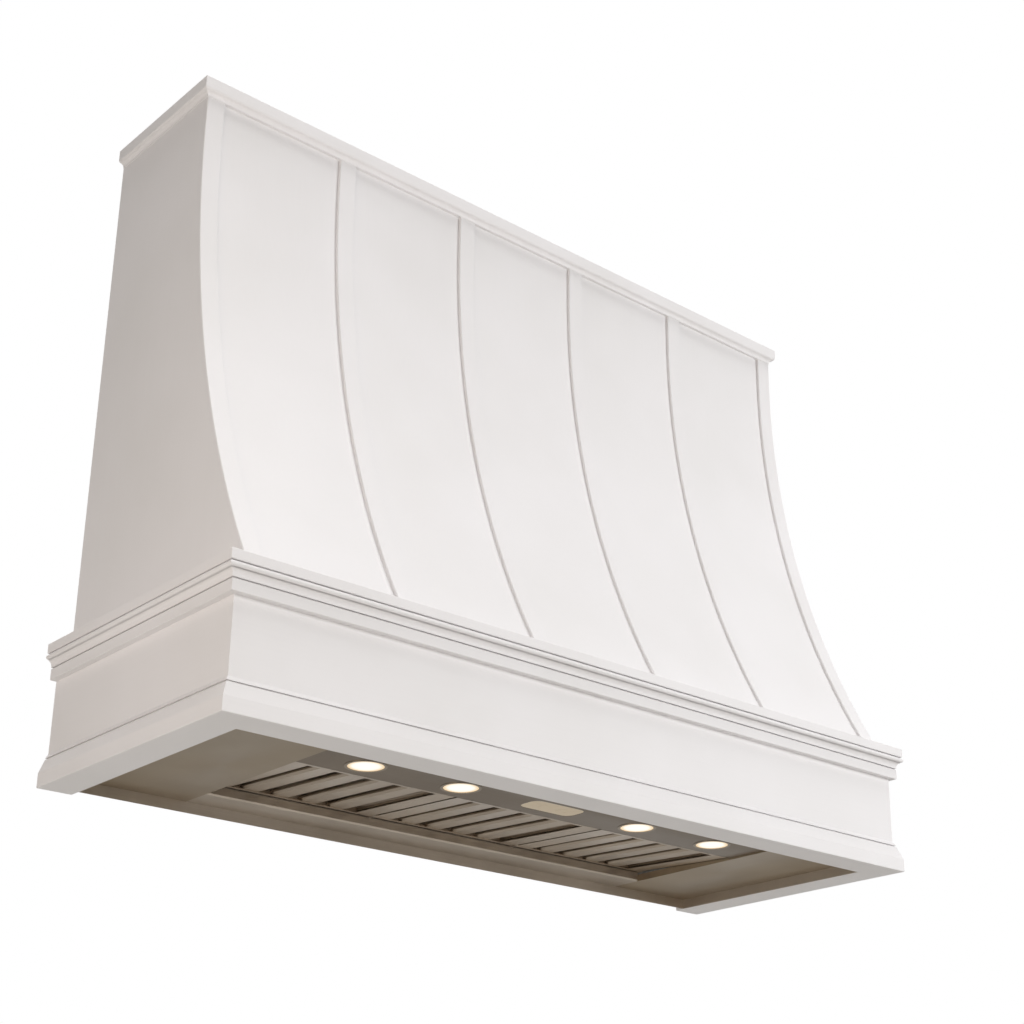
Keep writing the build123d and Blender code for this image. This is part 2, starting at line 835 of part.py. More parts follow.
def blower_wheel():
    half = wheel_half_width
    inner = wheel_radius - wheel_ring_width
    disc = rod_x(wheel_radius, -wheel_disc / 2, wheel_disc / 2, 0, 0)
    hub = rod_x(hub_radius, -hub_length, 0, 0, 0)
    wheel = disc + hub
    ring = rod_x(wheel_radius, half - wheel_disc, half, 0, 0) - rod_x(inner, 0, half + 1, 0, 0)
    wheel = wheel + ring + mirror(ring, Plane.YZ)
    a = inner + 1
    b = wheel_radius - 2
    t = blade_thickness
    section = make_face(Plane.YZ * Polyline((a, 0), (b, blade_lean), (b, blade_lean + t), (a, t), close=True))
    blade = Pos(-half + wheel_disc, 0, 0) * extrude(section, 2 * (half - wheel_disc), dir=(1, 0, 0))
    blades = [Rot(i * 360 / blade_count, 0, 0) * blade for i in range(blade_count)]
    wheel = wheel.fuse(*blades)
    wheel = wheel - rod_x(shaft_radius + shaft_clearance, -hub_length - 1, wheel_disc, 0, 0)
    return Pos(0, scroll_y, scroll_z) * wheel


def blower_motor():
    """Motor, shaft and the three-armed spider that carries it in the right inlet."""
    x0 = motor_gap
    x1 = motor_gap + motor_length
    seat = scroll_half_width
    body = rod_x(motor_radius, x0, x1, 0, 0)
    body = body + rod_x(shaft_radius, -hub_length - 3, x0 + 1, 0, 0)
    body = body + rod_x(hub_radius, x1 - 1, seat + spider_thickness, 0, 0)
    reach = inlet_radius + spider_foot
    for i in range(3):
        arm = block(seat, seat + spider_thickness, 0, reach, -spider_arm / 2, spider_arm / 2)
        body = body + Rot(90 + i * 120, 0, 0) * arm
    return Pos(0, scroll_y, scroll_z) * body


# ---- duct collar and damper ---------------------------------------------------------------
def duct_collar():
    z0 = blower_box_top
    inside = collar_radius - sheet
    collar = post_z(collar_radius, 0, 0, z0, z0 + collar_height)
    base = collar_radius + collar_flange
    collar = collar + block(-base, base, -base, base, z0, z0 + sheet)
    collar = collar - post_z(inside, 0, 0, z0 - 1, z0 + collar_height + 1)
    for side in (-1, 1):
        z1 = damper_z - sheet / 2 - stop_gap
        tab = block(-stop_tab / 2, stop_tab / 2, inside - stop_tab, inside + sheet / 2, z1 - sheet, z1)
        if side < 0:
            tab = mirror(tab, Plane.XZ)
        collar = collar + tab
    collar = collar - rod_x(rod_radius + rod_clearance, -collar_radius - 1, collar_radius + 1, 0, damper_z)
    return Pos(0, outlet_y, 0) * collar


def damper_rod():
    reach = collar_radius - rod_recess
    return rod_x(rod_radius, -reach, reach, outlet_y, damper_z)


def damper_flap(side):
    """Half disc with its own knuckles on the rod; side -1 is the front half."""
    radius = collar_radius - sheet - flap_margin
    t = sheet
    sleeve = rod_radius + rod_clearance + sleeve_wall
    plate = post_z(radius, 0, 0, -t / 2, t / 2)
    keep = block(-radius, radius, sleeve + flap_clear, radius, -t, t)
    plate = plate & keep
    reach = radius - knuckle_setback
    pitch = 2 * reach / knuckles
    for i in range(knuckles):
        if i % 2 == (0 if side < 0 else 1):
            x0 = -reach + i * pitch + knuckle_gap / 2
            x1 = x0 + pitch - knuckle_gap
            plate = plate + rod_x(sleeve, x0, x1, 0, 0)
            plate = plate + block(x0, x1, 0, sleeve + flap_clear + 1, -t / 2, t / 2)
    plate = plate - rod_x(rod_radius + rod_clearance, -radius - 1, radius + 1, 0, 0)
    if side < 0:
        plate = mirror(plate, Plane.XZ)
    return Pos(0, outlet_y, damper_z) * plate


# ---- writing the parts --------------------------------------------------------------------
def write(name, shape):
    """One STEP file for each node; a list becomes a group of separate solids."""
    if isinstance(shape, (list, tuple)):
        shape = Compound(children=[s for s in shape])
    export_step(Pos(0, half_depth, 0) * shape, f"parts/{name}.step")


os.makedirs("parts", exist_ok=True)

write("side_panel_left", side_panel(-1))
write("side_panel_right", side_panel(1))
write("front_panel", front_panel())
strap_names = ["left_end", "left_outer", "left_inner", "right_inner", "right_outer", "right_end"]
for strap_name, strap_x in zip(strap_names, strap_centres()):
    write("strap_" + strap_name, strap(strap_x))
write("curved_ribs", curved_ribs())
write("top_rail_front", top_rail_front())
write("hanging_rail", hanging_rail())
write("rear_rail", rear_rail())
write("shelf", shelf())

crown = moulding(crown_profile(), body_half, top_depth, crown_z, cover_height)
crown = (crown_front(crown[0]), crown[1], crown[2])
waist = moulding(waist_profile(), apron_half, cover_depth, waist_height - waist_height_total, waist_height)
base = moulding(base_profile(), apron_half, cover_depth, 0, base_face + base_bevel + base_quirk + base_cove)
for piece, solid in zip(("front", "left", "right"), crown):
    write("crown_" + piece, solid)
for piece, solid in zip(("front", "left", "right"), waist):
    write("waist_moulding_" + piece, solid)
for piece, solid in zip(("front", "left", "right"), base):
    write("base_moulding_" + piece, solid)

write("apron_front", apron_front())
write("apron_left", apron_left())
write("apron_right", mirror(apron_left(), Plane.YZ))
write("rim_rail_front", rim_rail_front())
write("rim_rail_left", rim_rail_side(-1))
write("rim_rail_right", rim_rail_side(1))
write("liner_screws", liner_screws())
write("liner_frame", liner_frame())
write("liner_panel_left", liner_panel_left())
write("liner_panel_right", mirror(liner_panel_left(), Plane.YZ))
write("light_panel", light_panel())
write("filter_catches", filter_catches())
for filter_name, filter_x in zip(("left", "centre", "right"), filter_centres()):
    write("filter_frame_" + filter_name, filter_frame(filter_x))
    write("filter_baffles_" + filter_name, filter_baffles(filter_x))
write("lamp_bezels", lamp_bezels())
write("lamp_lenses", lamp_lenses())
write("lamp_housings", lamp_housings())
write("control_plate", control_plate())
for number, button_x in enumerate(button_centres(), 1):
    write(f"button_{number}", button(button_x))
write("switch_box", switch_box())
write("plenum_box", plenum_box())
write("blower_box", blower_box())
write("scroll_housing", scroll_housing())
write("blower_wheel", blower_wheel())
write("blower_motor", blower_motor())
write("duct_collar", duct_collar())
write("damper_rod", damper_rod())
write("damper_flap_front", damper_flap(-1))
write("damper_flap_rear", damper_flap(1))
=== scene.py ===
import bmesh
import bpy
import math
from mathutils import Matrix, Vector


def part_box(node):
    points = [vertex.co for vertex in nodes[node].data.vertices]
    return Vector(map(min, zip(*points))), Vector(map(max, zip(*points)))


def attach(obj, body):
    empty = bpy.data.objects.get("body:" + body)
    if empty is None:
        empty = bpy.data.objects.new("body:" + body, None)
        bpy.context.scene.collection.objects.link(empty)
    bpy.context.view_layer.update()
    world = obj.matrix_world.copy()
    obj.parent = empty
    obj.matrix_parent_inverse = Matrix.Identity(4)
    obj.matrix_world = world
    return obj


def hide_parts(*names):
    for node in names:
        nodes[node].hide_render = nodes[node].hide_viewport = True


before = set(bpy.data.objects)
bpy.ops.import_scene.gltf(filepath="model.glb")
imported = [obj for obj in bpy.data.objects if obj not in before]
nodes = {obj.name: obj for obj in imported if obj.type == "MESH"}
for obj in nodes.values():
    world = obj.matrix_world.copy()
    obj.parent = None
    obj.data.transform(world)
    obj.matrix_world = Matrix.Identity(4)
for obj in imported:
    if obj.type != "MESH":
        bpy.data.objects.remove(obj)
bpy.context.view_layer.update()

# ---- side boards and curved front ----------------------------------------------------------
# Two 19 mm plywood sides carry a 6 mm skin bent over the ribs. The boards are filled and
# sanded, and sprayed with satin lacquer inside and out.


def linear(text):
    """A colour written as sRGB hex, turned into the linear values that a socket takes."""
    parts = [int(text[i:i + 2], 16) / 255 for i in (1, 3, 5)]
    return [c / 12.92 if c <= 0.04045 else ((c + 0.055) / 1.055) ** 2.4 for c in parts] + [1.0]


def add(tree, kind, inputs=None, **settings):
    """Adds a node, sets its options, and fills or links its sockets."""
    new = tree.nodes.new("ShaderNode" + kind)
    for name, value in settings.items():
        setattr(new, name, value)
    for name, value in (inputs or {}).items():
        if isinstance(value, bpy.types.NodeSocket):
            tree.links.new(value, new.inputs[name])
        else:
            new.inputs[name].default_value = value
    return new


def start_finish(name):
    """A new material with a cleared node tree, and the place of each point on the object."""
    material = bpy.data.materials.new(name)
    material.use_nodes = True
    tree = material.node_tree
    tree.nodes.clear()
    return material, tree, add(tree, "TexCoord").outputs["Object"]


def finish_on(material, *names):
    """Puts a finished material on the pieces that carry it."""
    for name in names:
        nodes[name].data.materials.clear()
        nodes[name].data.materials.append(material)


def satin_lacquer(name, along):
    """Sprayed satin lacquer on wood: a quiet sheen, faint orange peel, and grain that just
    shows through along the board. along is the board's direction, 0 for X, 1 for Y, 2 for Z."""
    material, tree, where = start_finish(name)
    # The real grain is finer than a millimetre. It is drawn 3.2 mm wide so that it shows.
    grain_width, grain_length = 0.0032, 0.24
    peel_size, cloud_size = 0.0035, 0.25
    stretch = [1 / grain_width] * 3
    stretch[along] = 1 / grain_length
    board = add(tree, "Mapping", {"Vector": where, "Scale": stretch})
    grain = add(tree, "TexNoise", {"Vector": board.outputs[0], "Scale": 1.0, "Detail": 3.0,
                                   "Roughness": 0.6})
    peel = add(tree, "TexNoise", {"Vector": where, "Scale": 1 / peel_size, "Detail": 2.0,
                                  "Roughness": 0.5})
    cloud = add(tree, "TexNoise", {"Vector": where, "Scale": 1 / cloud_size, "Detail": 2.0,
                                   "Roughness": 0.5})
    tone = add(tree, "MapRange", {"Value": cloud.outputs[0], "From Min": 0.3, "From Max": 0.7})
    colour = add(tree, "Mix", {"Factor": tone.outputs[0], "A": linear("#E8E6E6"),
                               "B": linear("#EDEBEC")}, data_type="RGBA")
    streak = add(tree, "MapRange", {"Value": grain.outputs[0], "From Min": 0.35,
                                    "From Max": 0.65, "To Min": 0.993, "To Max": 1.0})
    shade = add(tree, "Mix", {"Factor": 1.0, "A": colour.outputs["Result"],
                              "B": streak.outputs[0]}, data_type="RGBA", blend_type="MULTIPLY")
    gloss = add(tree, "MapRange", {"Value": peel.outputs[0], "From Min": 0.3, "From Max": 0.7,
                                   "To Min": 0.46, "To Max": 0.54})
    relief = add(tree, "Bump", {"Height": grain.outputs[0], "Strength": 0.12,
                                "Distance": 0.0002})
    skin = add(tree, "Bump", {"Height": peel.outputs[0], "Strength": 0.10, "Distance": 0.0002,
                              "Normal": relief.outputs[0]})
    coat = add(tree, "BsdfPrincipled", {"Base Color": shade.outputs["Result"],
                                        "Roughness": gloss.outputs[0], "IOR": 1.5,
                                        "Normal": skin.outputs[0]})
    add(tree, "OutputMaterial", {"Surface": coat.outputs[0]})
    return material


lacquer_upright = satin_lacquer("satin_lacquer_sprayed_upright", 2)
finish_on(lacquer_upright, "side_panel_left", "side_panel_right", "front_panel")

# ---- ribs, rails and shelf -----------------------------------------------------------------
# The carcass behind the skin: curved ribs, a front top rail, the hanging and rear rails that
# are screwed to the wall, and the shelf over the liner. Bare birch plywood, sawn and glued.


def birch_plywood(name, along):
    """Bare rotary-cut birch: a pale face with soft streaks along the sheet, matt and slightly
    rough. along is the sheet's direction, as for the lacquer."""
    material, tree, where = start_finish(name)
    streak_width, streak_length = 0.006, 0.14
    stretch = [1 / streak_width] * 3
    stretch[along] = 1 / streak_length
    sheet = add(tree, "Mapping", {"Vector": where, "Scale": stretch})
    figure = add(tree, "TexNoise", {"Vector": sheet.outputs[0], "Scale": 1.0, "Detail": 5.0,
                                    "Roughness": 0.62, "Distortion": 0.6})
    ramp = add(tree, "ValToRGB", {"Fac": figure.outputs[0]})
    dark, pale = ramp.color_ramp.elements
    dark.position, dark.color = 0.32, linear("#B08B5E")
    pale.position, pale.color = 0.62, linear("#D9BD92")
    relief = add(tree, "Bump", {"Height": figure.outputs[0], "Strength": 0.3,
                                "Distance": 0.0003})
    timber = add(tree, "BsdfPrincipled", {"Base Color": ramp.outputs[0], "Roughness": 0.66,
                                          "IOR": 1.5, "Normal": relief.outputs[0]})
    add(tree, "OutputMaterial", {"Surface": timber.outputs[0]})
    return material


finish_on(birch_plywood("birch_plywood_sawn_upright", 2), "curved_ribs")
finish_on(birch_plywood("birch_plywood_sawn_lengthwise", 0),
          "top_rail_front", "hanging_rail", "rear_rail")

# The shelf's border stands out past the body as a ledge over the waist moulding. The ledge is
# sprayed with the front. Inside the body the plywood stays bare.
body_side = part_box("side_panel_right")[1][0]
body_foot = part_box("front_panel")[0][1]
overlap = 0.0005
shelf_ply = birch_plywood("birch_plywood_with_sprayed_ledge", 0)
tree = shelf_ply.node_tree
bare = tree.nodes["Principled BSDF"]
place = add(tree, "SeparateXYZ", {0: tree.nodes["Texture Coordinate"].outputs["Object"]})
across = add(tree, "Math", {0: place.outputs["X"]}, operation="ABSOLUTE")
beside = add(tree, "Math", {0: across.outputs[0], 1: body_side - overlap},
             operation="GREATER_THAN")
before = add(tree, "Math", {0: place.outputs["Y"], 1: body_foot + overlap},
             operation="LESS_THAN")
ledge = add(tree, "Math", {0: beside.outputs[0], 1: before.outputs[0]}, operation="MAXIMUM")
sprayed = add(tree, "BsdfPrincipled", {"Base Color": linear("#EAE8E9"), "Roughness": 0.5,
                                       "IOR": 1.5})
both = add(tree, "MixShader", {0: ledge.outputs[0], 1: bare.outputs[0], 2: sprayed.outputs[0]})
tree.links.new(both.outputs[0], tree.nodes["Material Output"].inputs["Surface"])
finish_on(shelf_ply, "shelf")

# ---- straps --------------------------------------------------------------------------------
# Six hardwood straps follow the curve over the skin. Each is 5 mm thick, glued and pinned
# through the skin into a rib or a side board, and lacquered with the front.

finish_on(lacquer_upright, "strap_left_end", "strap_left_outer", "strap_left_inner",
          "strap_right_inner", "strap_right_outer", "strap_right_end")

# ---- crown ---------------------------------------------------------------------------------
# A flat fascia with a small round at its foot and a cove under that, mitred round the front
# and both sides at the ceiling. Machined hardwood, pinned to the top rail and the side boards.

lacquer_lengthwise = satin_lacquer("satin_lacquer_sprayed_lengthwise", 0)
lacquer_returns = satin_lacquer("satin_lacquer_sprayed_on_returns", 1)
finish_on(lacquer_lengthwise, "crown_front")
finish_on(lacquer_returns, "crown_left", "crown_right")

# ---- waist moulding ------------------------------------------------------------------------
# The heavy moulding between the curved body and the apron: a band, a full bead, a cove and a
# flat, parted by narrow quirks. Run in hardwood, mitred at the corners, and pinned to the
# shelf's edge and the apron.

apron_half, apron_face, wall_face = 0.686, -0.2395, 0.2605
shelf_top = 0.225
eased = 0.0008


def bend(middle, across, high, start, end, steps=10):
    """A round stretch of a profile, as points on an ellipse between two angles in degrees."""
    turns = [math.radians(start + (end - start) * step / steps) for step in range(steps + 1)]
    return [(middle[0] + across * math.cos(turn), middle[1] + high * math.sin(turn))
            for turn in turns]


# The outline is measured out from the apron's face and up from the shelf's top.
band_out, band_lean, band_foot = 0.0196, 0.0004, -0.0154
band_in = band_out - band_lean
upper_quirk, lower_quirk, quirk_depth = 0.0019, 0.0012, 0.0045
bead_radius, bead_back = 0.0039, 0.0169
bead_top = band_foot - upper_quirk
bead_foot = bead_top - 2 * bead_radius
cove_top, cove_foot = bead_foot - lower_quirk, -0.0364
cove_out, cove_in = 0.0164, 0.0107
flat_out, flat_top, flat_foot = 0.0105, -0.0382, -0.056
behind_bead, behind_cove = bead_back - quirk_depth, cove_in - quirk_depth
waist_outline = [
    (0.0, 0.0), (band_out - eased, 0.0), (band_out, -eased), (band_in, band_foot + eased),
    (band_in - eased, band_foot), (behind_bead, band_foot), (behind_bead, bead_top),
    *bend((bead_back, bead_top - bead_radius), bead_radius, bead_radius, 90, -90, 14),
    (behind_bead, bead_foot), (behind_bead, cove_top),
    *bend((cove_out, cove_foot), cove_in - cove_out, cove_top - cove_foot, 90, 0),
    (behind_cove, cove_foot), (behind_cove, flat_top),
    (flat_out - eased, flat_top), (flat_out, flat_top - eased),
    (flat_out, flat_foot + eased), (flat_out - eased, flat_foot), (0.0, flat_foot)]


def mitred_run(name, outline, top, ends):
    """One length of moulding with the outline drawn at both of its ends. Each end is a place
    on the back of the moulding and the direction in which the outline goes out from it."""
    mesh = bpy.data.meshes.new(name)
    count = len(outline)
    points = [(place[0] + way[0] * out, place[1] + way[1] * out, top + up)
              for place, way in ends for out, up in outline]
    faces = [(k, (k + 1) % count, count + (k + 1) % count, count + k) for k in range(count)]
    faces += [tuple(range(count)), tuple(range(2 * count - 1, count - 1, -1))]
    mesh.from_pydata(points, [], faces)
    shape = bmesh.new()
    shape.from_mesh(mesh)
    bmesh.ops.recalc_face_normals(shape, faces=shape.faces)
    shape.to_mesh(mesh)
    shape.free()
    mesh.shade_smooth()
    widest_smooth_turn = 15
    mesh.set_sharp_from_angle(angle=math.radians(widest_smooth_turn))
    piece = bpy.data.objects.new(name, mesh)
    bpy.context.scene.collection.objects.link(piece)
    return piece


left_corner, right_corner = (-apron_half, apron_face), (apron_half, apron_face)
left_wall, right_wall = (-apron_half, wall_face), (apron_half, wall_face)
runs = [("front", lacquer_lengthwise, [(left_corner, (-1, -1)), (right_corner, (1, -1))]),
        ("left", lacquer_returns, [(left_wall, (-1, 0)), (left_corner, (-1, -1))]),
        ("right", lacquer_returns, [(right_wall, (1, 0)), (right_corner, (1, -1))])]
for side, lacquer, ends in runs:
    length = mitred_run("waist_moulding_run_" + side, waist_outline, shelf_top, ends)
    length.data.materials.append(lacquer)
    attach(length, "cover")
    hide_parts("waist_moulding_" + side)

# ---- apron ---------------------------------------------------------------------------------
# Three flat boards below the waist, mitred at the corners and glued up under the shelf.
# They carry both mouldings.

finish_on(lacquer_lengthwise, "apron_front")
finish_on(lacquer_returns, "apron_left", "apron_right")

# ---- base moulding -------------------------------------------------------------------------
# A square-faced moulding with a bevel, a narrow groove and a sloped fillet above it, round the
# foot of the apron. Mitred hardwood, with its foot flush with the rim's underside.

rim_underside = 0.0
base_nose, base_face = 0.013, 0.0225
base_neck, bevel_top = 0.0045, 0.0445
groove_in, groove_top = 0.001, 0.0468
fillet_in, base_top = 0.0004, 0.0538
base_outline = [
    (0.0, 0.0), (base_nose - eased, 0.0), (base_nose, eased), (base_nose, base_face),
    (base_neck, bevel_top), (groove_in, bevel_top), (groove_in, groove_top),
    (base_neck, groove_top), (fillet_in, base_top), (0.0, base_top)]
for side, lacquer, ends in runs:
    length = mitred_run("base_moulding_run_" + side, base_outline, rim_underside, ends)
    length.data.materials.append(lacquer)
    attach(length, "cover")
    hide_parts("base_moulding_" + side)

# ---- rim rails -----------------------------------------------------------------------------
# The flat underside between the apron and the steel liner. Hardwood rails that
# stiffen the apron and take the liner's screws.

finish_on(lacquer_lengthwise, "rim_rail_front")
finish_on(lacquer_returns, "rim_rail_left", "rim_rail_right")

# ---- steel liner ---------------------------------------------------------------------------
# A folded tray of 1.2 mm stainless sheet set into the rim: the frame with its flange, the
# gutter at the back and the filters' hinge lugs, and a flat panel at each end. Brushed
# before folding.


def brushed_stainless(name, along, tint_low, tint_high):
    """Stainless sheet with a brushed finish: long fine lines along the sheet that smear the
    reflections, and slow cloudy changes in tone."""
    material, tree, where = start_finish(name)
    # The real lines are about 0.1 mm apart. They are drawn at 0.5 mm so that they show.
    line_pitch, line_length = 0.0005, 0.09
    cloud_size = 0.16
    stretch = [1 / line_pitch] * 3
    stretch[along] = 1 / line_length
    rolled = add(tree, "Mapping", {"Vector": where, "Scale": stretch})
    lines = add(tree, "TexNoise", {"Vector": rolled.outputs[0], "Scale": 1.0, "Detail": 4.0,
                                   "Roughness": 0.7})
    cloud = add(tree, "TexNoise", {"Vector": where, "Scale": 1 / cloud_size, "Detail": 3.0,
                                   "Roughness": 0.55})
    blend = add(tree, "Math", {0: lines.outputs[0], 1: cloud.outputs[0]}, operation="ADD")
    tone = add(tree, "MapRange", {"Value": blend.outputs[0], "From Min": 0.75,
                                  "From Max": 1.25})
    colour = add(tree, "Mix", {"Factor": tone.outputs[0], "A": linear(tint_low),
                               "B": linear(tint_high)}, data_type="RGBA")
    gloss = add(tree, "MapRange", {"Value": lines.outputs[0], "From Min": 0.3,
                                   "From Max": 0.7, "To Min": 0.30, "To Max": 0.46})
    relief = add(tree, "Bump", {"Height": lines.outputs[0], "Strength": 0.25,
                                "Distance": 0.0001})
    sheet = add(tree, "BsdfPrincipled", {"Base Color": colour.outputs["Result"],
                                         "Metallic": 1.0, "Roughness": gloss.outputs[0],
                                         "Anisotropic": 0.5, "Normal": relief.outputs[0]})
    add(tree, "OutputMaterial", {"Surface": sheet.outputs[0]})
    return material


finish_on(brushed_stainless("stainless_steel_brushed_on_frame", 0, "#B3A99D", "#C5BBAF"),
          "liner_frame")
# The end panels are the same brushed sheet as the frame, tinted darker and warmer: painted
# shade.
finish_on(brushed_stainless("stainless_steel_brushed_painted_shade_on_end_panels", 1, "#9D8D77", "#AB9D89"),
          "liner_panel_left", "liner_panel_right")

# Small hexagon-headed screws hold the liner's flange to the rim rails. Zinc plated steel,
# with a bright plate that is slightly bluish and blotchy.
blotch_size = 0.002
zinc, tree, where = start_finish("zinc_plate_electroplated")
blotch = add(tree, "TexNoise", {"Vector": where, "Scale": 1 / blotch_size, "Detail": 2.0})
tone = add(tree, "Mix", {"Factor": blotch.outputs[0], "A": linear("#A9ABAE"),
                         "B": linear("#C6C7C4")}, data_type="RGBA")
plate = add(tree, "BsdfPrincipled", {"Base Color": tone.outputs["Result"], "Metallic": 1.0,
                                     "Roughness": 0.34})
add(tree, "OutputMaterial", {"Surface": plate.outputs[0]})
finish_on(zinc, "liner_screws")

# ---- light panel and filter catches --------------------------------------------------------
# The steel strip along the front that carries the lamps and the controls, folded up at its
# rear edge. Two small magnet blocks on the fold hold each filter up.

# The light panel is the same brushed sheet as the frame, tinted much darker: painted shade.
finish_on(brushed_stainless("stainless_steel_brushed_painted_shade_on_light_panel", 0, "#7C6F60", "#8A7D6E"),
          "light_panel")

# Sintered ferrite is near black, matt and finely pitted. The real pits are under 0.1 mm
# across. They are drawn at 0.8 mm so that they show in a close view.
pit_size = 0.0008
ferrite, tree, where = start_finish("ferrite_sintered")
pit = add(tree, "TexNoise", {"Vector": where, "Scale": 1 / pit_size, "Detail": 3.0})
tone = add(tree, "Mix", {"Factor": pit.outputs[0], "A": linear("#242424"),
                         "B": linear("#3B3A39")}, data_type="RGBA")
relief = add(tree, "Bump", {"Height": pit.outputs[0], "Strength": 0.4, "Distance": 0.0002})
block = add(tree, "BsdfPrincipled", {"Base Color": tone.outputs["Result"], "Roughness": 0.72,
                                     "IOR": 1.6, "Normal": relief.outputs[0]})
add(tree, "OutputMaterial", {"Surface": block.outputs[0]})
finish_on(ferrite, "filter_catches")

# ---- lamps ---------------------------------------------------------------------------------
# Four round downlights: a thin turned ring on the panel, a frosted glass in it that glows
# warm white, and a plain cast can above that holds the glass.

# Turned stainless shines more than the brushed sheet round it. The real tool marks are finer
# than 0.2 mm. They are drawn at 0.6 mm so that they show in a close view.
mark_size = 0.0006
turned, tree, where = start_finish("stainless_steel_turned_satin")
mark = add(tree, "TexNoise", {"Vector": where, "Scale": 1 / mark_size, "Detail": 2.0})
tone = add(tree, "Mix", {"Factor": mark.outputs[0], "A": linear("#8D7F6C"),
                         "B": linear("#A3947F")}, data_type="RGBA")
ring = add(tree, "BsdfPrincipled", {"Base Color": tone.outputs["Result"], "Metallic": 1.0,
                                    "Roughness": 0.28})
add(tree, "OutputMaterial", {"Surface": ring.outputs[0]})
finish_on(turned, "lamp_bezels")

# The frosting spreads the light. The middle of each disc is almost white, and towards the
# ring it falls off to a warm cream. The etched grain is drawn coarser than the real one, at
# 1.2 mm, so that it shows in a close view.
row_low, row_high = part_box("lamp_lenses")
lens_radius = (row_high[1] - row_low[1]) / 2
row_y = (row_high[1] + row_low[1]) / 2
outer_lamp_x = row_high[0] - lens_radius
inner_lamp_x = 0.186
bright_radius = lens_radius * 0.62
frost_size = 0.0012
frosted, tree, where = start_finish("glass_frosted_lit")
# X is folded about the middle of the row and again between the two lamps of a side, so that
# all four discs share one fall-off.
place = add(tree, "SeparateXYZ", {0: where})
side = add(tree, "Math", {0: place.outputs["X"]}, operation="ABSOLUTE")
pair = add(tree, "Math", {0: side.outputs[0], 1: (outer_lamp_x + inner_lamp_x) / 2},
           operation="SUBTRACT")
half = add(tree, "Math", {0: pair.outputs[0]}, operation="ABSOLUTE")
across = add(tree, "Math", {0: half.outputs[0], 1: (outer_lamp_x - inner_lamp_x) / 2},
             operation="SUBTRACT")
along = add(tree, "Math", {0: place.outputs["Y"], 1: row_y}, operation="SUBTRACT")
spoke = add(tree, "CombineXYZ", {0: across.outputs[0], 1: along.outputs[0]})
radius = add(tree, "VectorMath", {0: spoke.outputs[0]}, operation="LENGTH")
edge = add(tree, "MapRange", {"Value": radius.outputs["Value"], "From Min": bright_radius,
                              "From Max": lens_radius}, interpolation_type="SMOOTHSTEP")
frost = add(tree, "TexNoise", {"Vector": where, "Scale": 1 / frost_size, "Detail": 2.0})
middle = add(tree, "Mix", {"Factor": frost.outputs[0], "A": linear("#FFFAEF"),
                           "B": linear("#FFFDF8")}, data_type="RGBA")
glow = add(tree, "Mix", {"Factor": edge.outputs[0], "A": middle.outputs["Result"],
                         "B": linear("#E3C79B")}, data_type="RGBA")
relief = add(tree, "Bump", {"Height": frost.outputs[0], "Strength": 0.3, "Distance": 0.0001})
glass = add(tree, "BsdfPrincipled", {"Base Color": linear("#9A9184"), "Roughness": 0.45,
                                     "IOR": 1.52, "Emission Color": glow.outputs["Result"],
                                     "Emission Strength": 0.9, "Normal": relief.outputs[0]})
add(tree, "OutputMaterial", {"Surface": glass.outputs[0]})
finish_on(frosted, "lamp_lenses")

# Aluminium as it comes from the mould is grey, dull and grainy from the sand.
sand_size = 0.0009
cast, tree, where = start_finish("aluminium_as_cast")
sand = add(tree, "TexNoise", {"Vector": where, "Scale": 1 / sand_size, "Detail": 4.0,
                              "Roughness": 0.6})
tone = add(tree, "Mix", {"Factor": sand.outputs[0], "A": linear("#8E8F90"),
                         "B": linear("#A9AAAB")}, data_type="RGBA")
relief = add(tree, "Bump", {"Height": sand.outputs[0], "Strength": 0.5, "Distance": 0.0003})
can = add(tree, "BsdfPrincipled", {"Base Color": tone.outputs["Result"], "Metallic": 1.0,
                                   "Roughness": 0.55, "Normal": relief.outputs[0]})
add(tree, "OutputMaterial", {"Surface": can.outputs[0]})
finish_on(cast, "lamp_housings")

# ---- controls ------------------------------------------------------------------------------
# A rounded plate in the light panel with five push buttons, injection moulded with a fine
# spark texture, and the closed switch box behind it.


def moulded_abs(name, low, high):
    """Moulded ABS with a spark-eroded texture that breaks up the highlight."""
    material, tree, where = start_finish(name)
    # The real texture is about 0.1 mm. It is drawn at 0.8 mm so that it shows in a close view.
    spark_size = 0.0008
    spark = add(tree, "TexNoise", {"Vector": where, "Scale": 1 / spark_size, "Detail": 3.0,
                                   "Roughness": 0.6})
    tone = add(tree, "Mix", {"Factor": spark.outputs[0], "A": linear(low),
                             "B": linear(high)}, data_type="RGBA")
    relief = add(tree, "Bump", {"Height": spark.outputs[0], "Strength": 0.35,
                                "Distance": 0.0002})
    shell = add(tree, "BsdfPrincipled", {"Base Color": tone.outputs["Result"],
                                         "Roughness": 0.5, "IOR": 1.53,
                                         "Normal": relief.outputs[0]})
    add(tree, "OutputMaterial", {"Surface": shell.outputs[0]})
    return material


finish_on(moulded_abs("abs_moulded_beige", "#E2D1B6", "#EBDCC3"), "control_plate",
          "button_1", "button_2", "button_3", "button_4", "button_5")
finish_on(moulded_abs("abs_moulded_black", "#1C1C1C", "#262626"), "switch_box")

# ---- filters -------------------------------------------------------------------------------
# Three baffle filters that swing down on pins at the back and are held up by the magnets in
# front. Each is a folded frame round two layers of overlapping channels, brushed stainless.

finish_on(brushed_stainless("stainless_steel_brushed_on_baffles", 1, "#AFA293", "#C4B7A7"),
          "filter_frame_left", "filter_frame_centre", "filter_frame_right",
          "filter_baffles_left", "filter_baffles_centre", "filter_baffles_right")

# ---- plenum and blower ---------------------------------------------------------------------
# The sheet-metal boxes above the filters, the scroll housing with its motor, and the
# wheel. Hot-dip galvanised sheet, riveted and spot welded.

